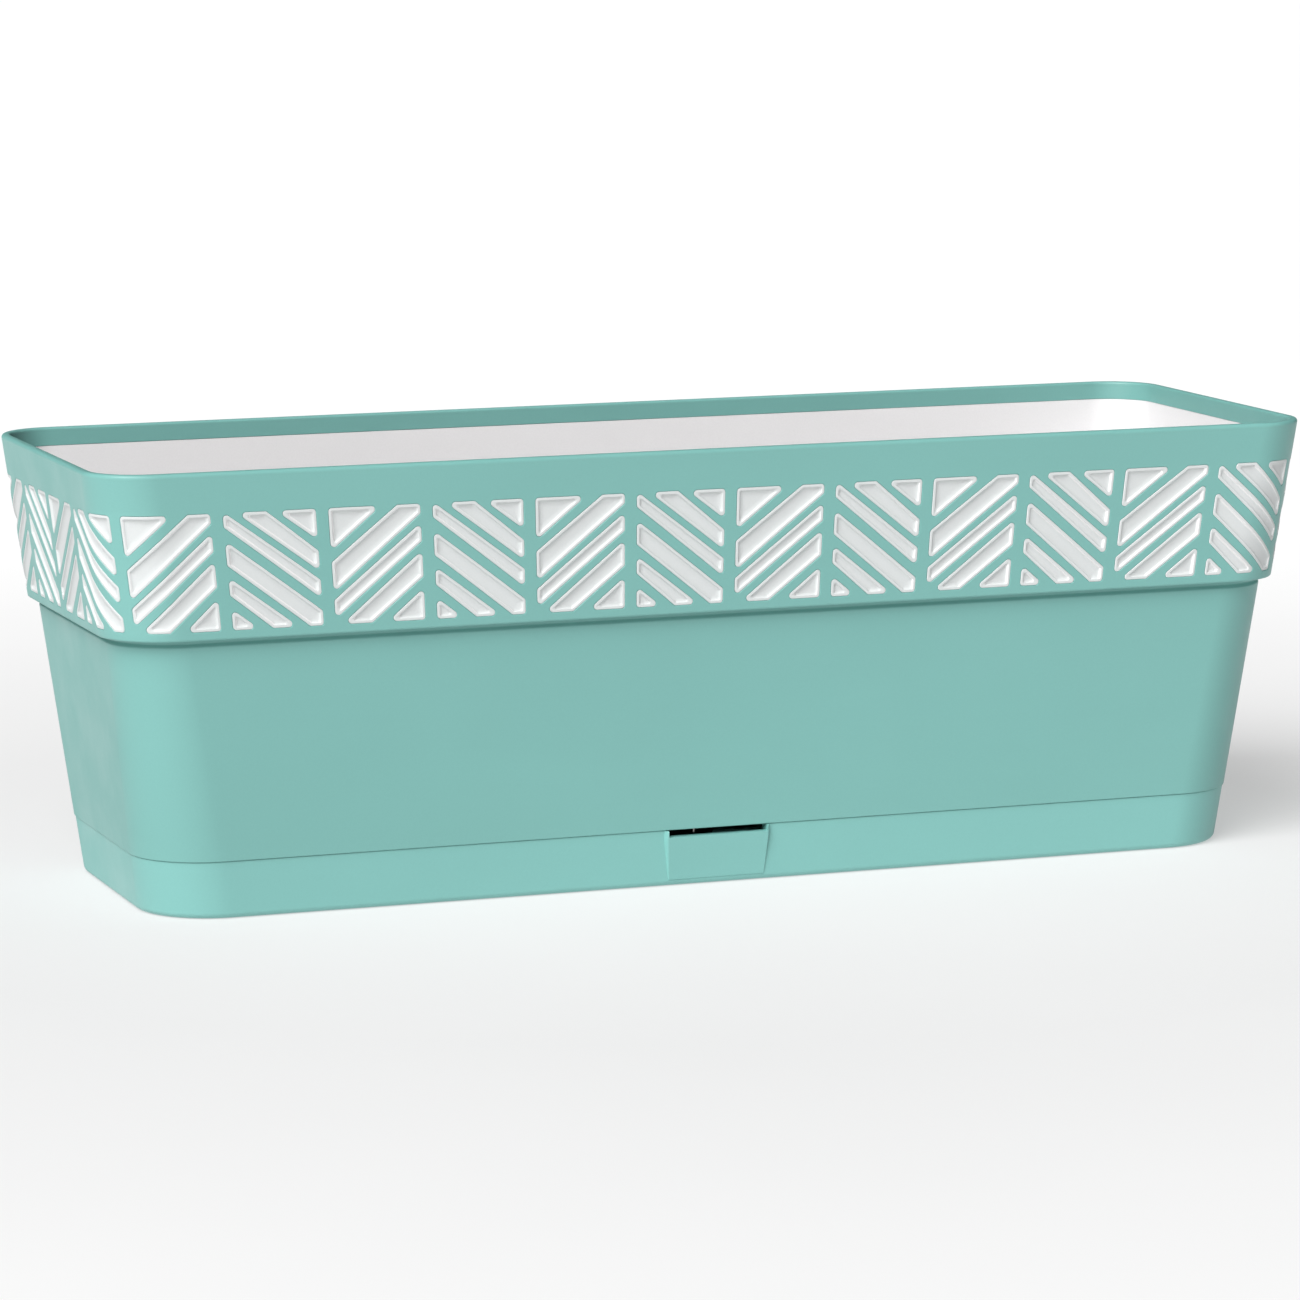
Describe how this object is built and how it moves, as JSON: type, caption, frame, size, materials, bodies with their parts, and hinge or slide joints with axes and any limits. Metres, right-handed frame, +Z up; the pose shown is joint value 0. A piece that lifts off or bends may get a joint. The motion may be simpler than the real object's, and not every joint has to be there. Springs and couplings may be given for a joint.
{
  "type": "self watering planter box",
  "caption": "Long rectangular window-box planter with a chevron-patterned collar, lifting off a shallow reservoir tray with an overflow slot and wick cups.",
  "frame": {"origin": "centre of the planter's footprint on the surface it stands on, which is the bottom centre of its bounding box", "axes": "+X along the length, -Y the front with the overflow slot, +Z up"},
  "size_m": [0.5, 0.1714, 0.1727],
  "materials": {
    "turquoise": "satin",
    "tray_turquoise": "satin",
    "white": "satin",
    "black_plastic": "matt",
    "felt": "fibrous",
    "float_foam": "matt",
    "indicator_red": "gloss",
    "clear_plastic": "clear"
  },
  "bodies": {
    "tray": {"reservoir_tray": "tray_turquoise"},
    "pot": {"pot_skin": "turquoise", "pot_inner": "white"},
    "separator": {"separator_plate": "black_plastic", "gauge_tube": "black_plastic"},
    "cup_left": {"wick_cup_left": "black_plastic", "wick_felt_left": "felt"},
    "cup_middle": {"wick_cup_middle": "black_plastic", "wick_felt_middle": "felt"},
    "cup_right": {"wick_cup_right": "black_plastic", "wick_felt_right": "felt"},
    "indicator": {"gauge_float": "float_foam", "gauge_stem": "indicator_red"},
    "cap": {"gauge_cap": "clear_plastic"}
  },
  "joints": [
    {"name": "pot_lift", "type": "slide", "parent": "tray", "child": "pot", "axis": [0, 0, 1], "range_m": [0, 0.06]},
    {"name": "separator_lift", "type": "slide", "parent": "pot", "child": "separator", "axis": [0, 0, 1], "range_m": [0, 0.06]},
    {"name": "cup_left_lift", "type": "slide", "parent": "separator", "child": "cup_left", "axis": [0, 0, 1], "range_m": [0, 0.08]},
    {"name": "cup_middle_lift", "type": "slide", "parent": "separator", "child": "cup_middle", "axis": [0, 0, 1], "range_m": [0, 0.08]},
    {"name": "cup_right_lift", "type": "slide", "parent": "separator", "child": "cup_right", "axis": [0, 0, 1], "range_m": [0, 0.08]},
    {"name": "float_rise", "type": "slide", "parent": "separator", "child": "indicator", "axis": [0, 0, 1], "range_m": [0, 0.0135]},
    {"name": "cap_lift", "type": "slide", "parent": "separator", "child": "cap", "axis": [0, 0, 1], "range_m": [0, 0.015]}
  ]
}
